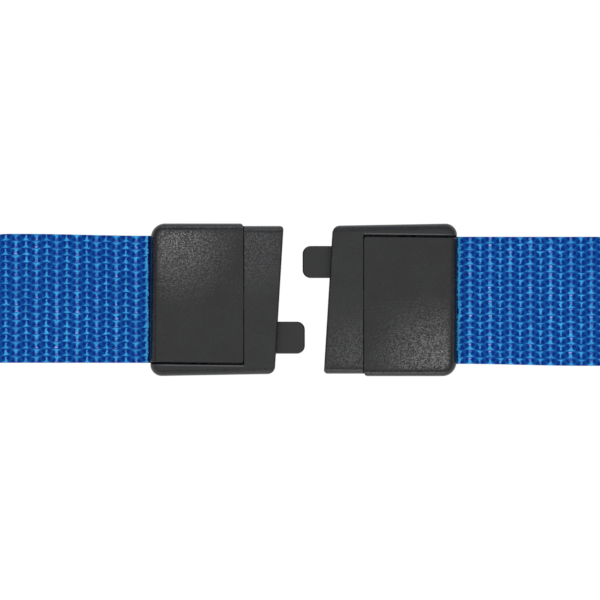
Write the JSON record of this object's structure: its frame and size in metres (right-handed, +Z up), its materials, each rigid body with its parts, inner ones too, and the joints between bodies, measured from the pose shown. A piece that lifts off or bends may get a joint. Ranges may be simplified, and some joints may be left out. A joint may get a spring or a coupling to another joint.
{
  "type": "gait belt",
  "caption": "Gait belt: wide woven strap in a loop, closed by a slide-together buckle of two like halves, each with a tongue, a slot, a push cover and a latch.",
  "frame": {"origin": "bottom centre of the whole belt's box, on the table it lies on", "axes": "+X along the strap from the left half to the right half, +Y from the buckle to the back of the loop, +Z up, out of the buckle's covers"},
  "size_m": [0.5416, 0.2574, 0.0509],
  "materials": {
    "housing_plastic": "moulded satin grain",
    "cover_plastic": "moulded satin grain",
    "tongue_plastic": "smooth satin",
    "back_plastic": "fine grain",
    "latch_steel": "black oxide",
    "screw_steel": "black zinc",
    "spring_steel": "bright wire",
    "bar_steel": "black oxide",
    "webbing_blue": "plain-woven polypropylene webbing",
    "sealed_tip": "heat-sealed webbing",
    "keeper_webbing": "woven band",
    "thread_navy": "twisted thread",
    "label_cloth": "blank satin tape",
    "thread_white": "twisted thread"
  },
  "bodies": {
    "left_half": {"left_body": "housing_plastic", "left_tongue_plate": "tongue_plastic", "left_back_plate": "back_plastic", "left_back_screws": "screw_steel", "left_anchor_bar": "bar_steel", "left_cover_springs": "spring_steel", "webbing_left": "webbing_blue", "webbing_left_turn": "webbing_blue", "webbing_back": "webbing_blue", "left_end_stitching": "thread_navy", "care_label": "label_cloth", "label_stitching": "thread_white"},
    "left_push_cover": {"left_cover": "cover_plastic"},
    "left_catch": {"left_latch": "latch_steel"},
    "right_half": {"right_body": "housing_plastic", "right_tongue_plate": "tongue_plastic", "right_back_plate": "back_plastic", "right_back_screws": "screw_steel", "right_friction_bar": "bar_steel", "right_cover_springs": "spring_steel", "webbing_right": "webbing_blue", "webbing_right_turn": "webbing_blue", "webbing_tail": "webbing_blue", "tail_tip": "sealed_tip", "tail_keeper": "keeper_webbing", "keeper_stitching": "thread_navy"},
    "right_push_cover": {"right_cover": "cover_plastic"},
    "right_catch": {"right_latch": "latch_steel"}
  },
  "joints": [
    {"name": "buckle_close", "type": "slide", "parent": "left_half", "child": "right_half", "axis": [-1, 0, 0], "range_m": [0, 0.0194], "deforming": ["webbing_back", "left_latch", "right_latch"]},
    {"name": "left_release", "type": "slide", "parent": "left_half", "child": "left_push_cover", "axis": [0, -1, 0], "range_m": [0, 0.0008], "stiffness_N_per_m": 1500, "springref_m": -0.002, "deforming": ["left_cover_springs"]},
    {"name": "left_latch_drop", "type": "slide", "parent": "left_half", "child": "left_catch", "axis": [0, 0, -1], "range_m": [0, 0.0014]},
    {"name": "right_release", "type": "slide", "parent": "right_half", "child": "right_push_cover", "axis": [0, 1, 0], "range_m": [0, 0.0008], "stiffness_N_per_m": 1500, "springref_m": -0.002, "deforming": ["right_cover_springs"]},
    {"name": "right_latch_drop", "type": "slide", "parent": "right_half", "child": "right_catch", "axis": [0, 0, -1], "range_m": [0, 0.0014]}
  ],
  "couplings": [
    {"joint": "left_latch_drop", "follows": "left_release", "ratio": 1.75},
    {"joint": "right_latch_drop", "follows": "right_release", "ratio": 1.75}
  ]
}
